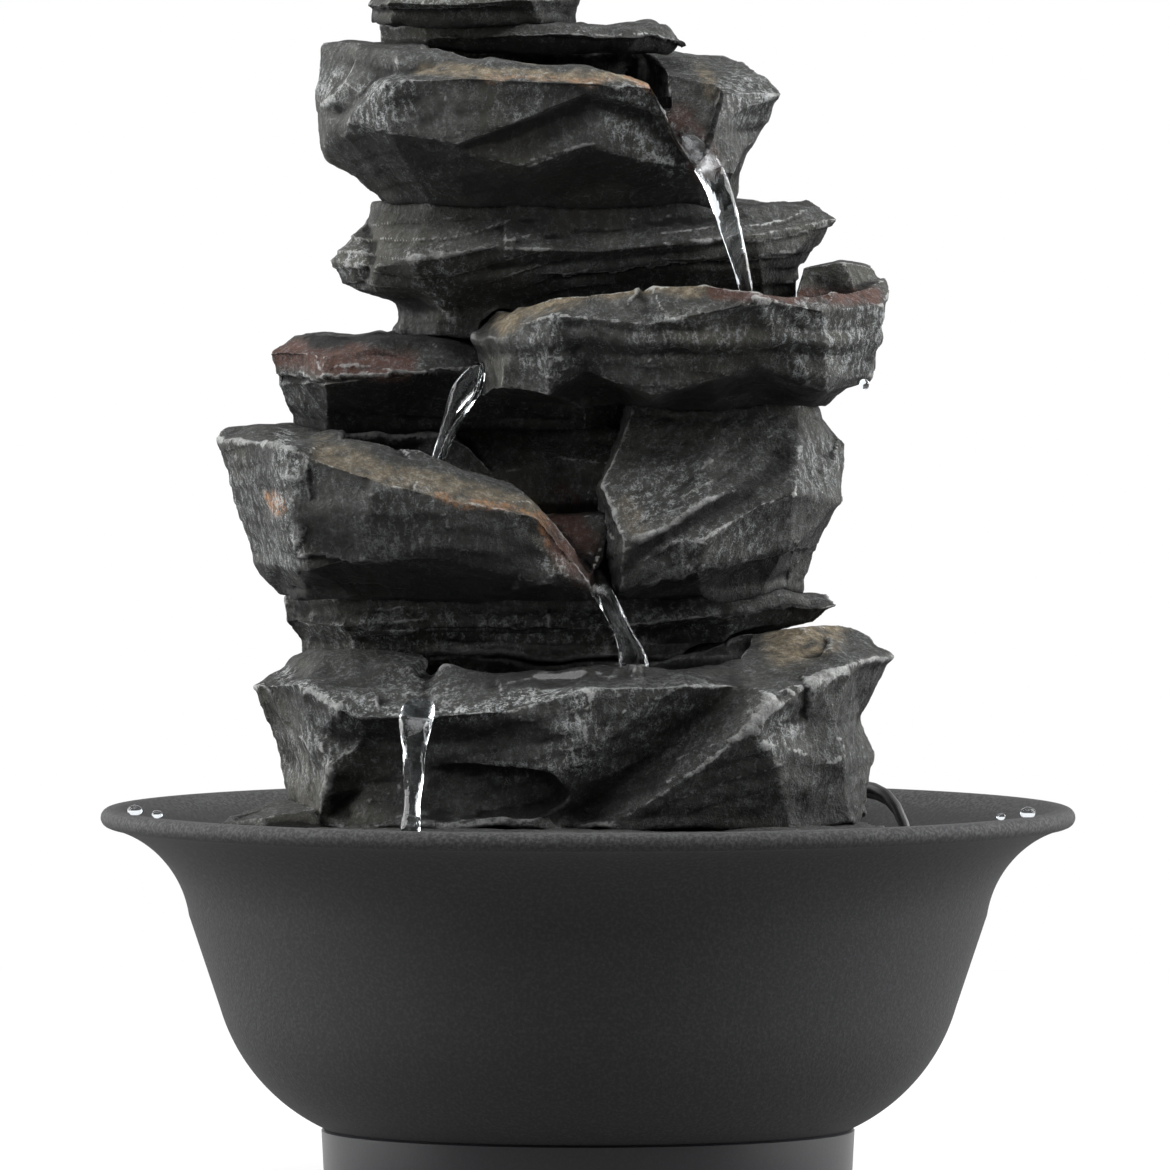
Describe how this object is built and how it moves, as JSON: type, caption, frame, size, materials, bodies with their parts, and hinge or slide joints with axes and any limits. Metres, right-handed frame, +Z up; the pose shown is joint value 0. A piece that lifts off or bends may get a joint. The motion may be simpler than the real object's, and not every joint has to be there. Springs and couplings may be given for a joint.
{
  "type": "tabletop fountain",
  "caption": "Tabletop fountain: black plastic bowl on a round foot, stacked slate-look stones with pools spilling from level to level, submersible pump and mains lead.",
  "frame": {"origin": "middle of the foot at the table", "axes": "+Z up, front toward -Y, +X to the viewer's right"},
  "size_m": [0.21, 0.2402, 0.273],
  "materials": {
    "bowl_plastic": "fine grained matte",
    "foot_plastic": "smooth satin",
    "rubber_pad": "matte",
    "slate": "dry-brushed cast resin, pale on the edges",
    "rust_slate": "red-brown cast resin",
    "vinyl": "clear",
    "pump_plastic": "satin",
    "core_steel": "laminated",
    "copper": "enamelled winding",
    "potting_resin": "cast",
    "magnet": "sintered ferrite",
    "impeller_plastic": "moulded",
    "shaft_ceramic": "ground",
    "cup_rubber": "soft translucent",
    "cord_sheath": "semi-gloss sheath",
    "tie_plastic": "flat strap",
    "blade_brass": "plain"
  },
  "bodies": {
    "bowl": {"bowl": "bowl_plastic", "foot_ring": "foot_plastic", "foot_pads": "rubber_pad", "pump_body": "pump_plastic", "pump_chamber": "pump_plastic", "stator_core": "core_steel", "motor_coil": "copper", "potting": "potting_resin", "impeller_shaft": "shaft_ceramic", "shaft_bushes": "rubber_pad", "suction_cups": "cup_rubber", "cord_gland": "cord_sheath", "cord_lead": "cord_sheath", "cord_coil": "cord_sheath", "cord_tie": "tie_plastic", "cord_tail": "cord_sheath", "plug_body": "cord_sheath", "plug_blades": "blade_brass"},
    "tower": {"deck_stone": "slate", "base_stone": "slate", "lower_strata": "slate", "left_basin_stone": "slate", "buttress_stone": "slate", "left_shelf_stone": "rust_slate", "right_basin_stone": "slate", "mid_strata": "slate", "upper_basin_stone": "slate", "cap_slab": "slate", "crown_stone": "slate", "hose": "vinyl", "hose_outlet": "pump_plastic"},
    "rotor": {"rotor_magnet": "magnet", "impeller": "impeller_plastic"},
    "cover": {"intake_cover": "pump_plastic"},
    "dial": {"flow_dial": "pump_plastic"}
  },
  "joints": [
    {"name": "tower_lift", "type": "slide", "parent": "bowl", "child": "tower", "axis": [0, 0, 1], "range_m": [0, 0.08]},
    {"name": "impeller_spin", "type": "hinge", "parent": "bowl", "child": "rotor", "pos_m": [0, 0.014, 0.037], "axis": [1, 0, 0], "continuous": true},
    {"name": "cover_pull", "type": "slide", "parent": "bowl", "child": "cover", "axis": [-1, 0, 0], "range_m": [0, 0.014]},
    {"name": "flow_dial_turn", "type": "hinge", "parent": "cover", "child": "dial", "pos_m": [-0.018, 0.014, 0.037], "axis": [-1, 0, 0], "range_deg": [0, 90]}
  ]
}
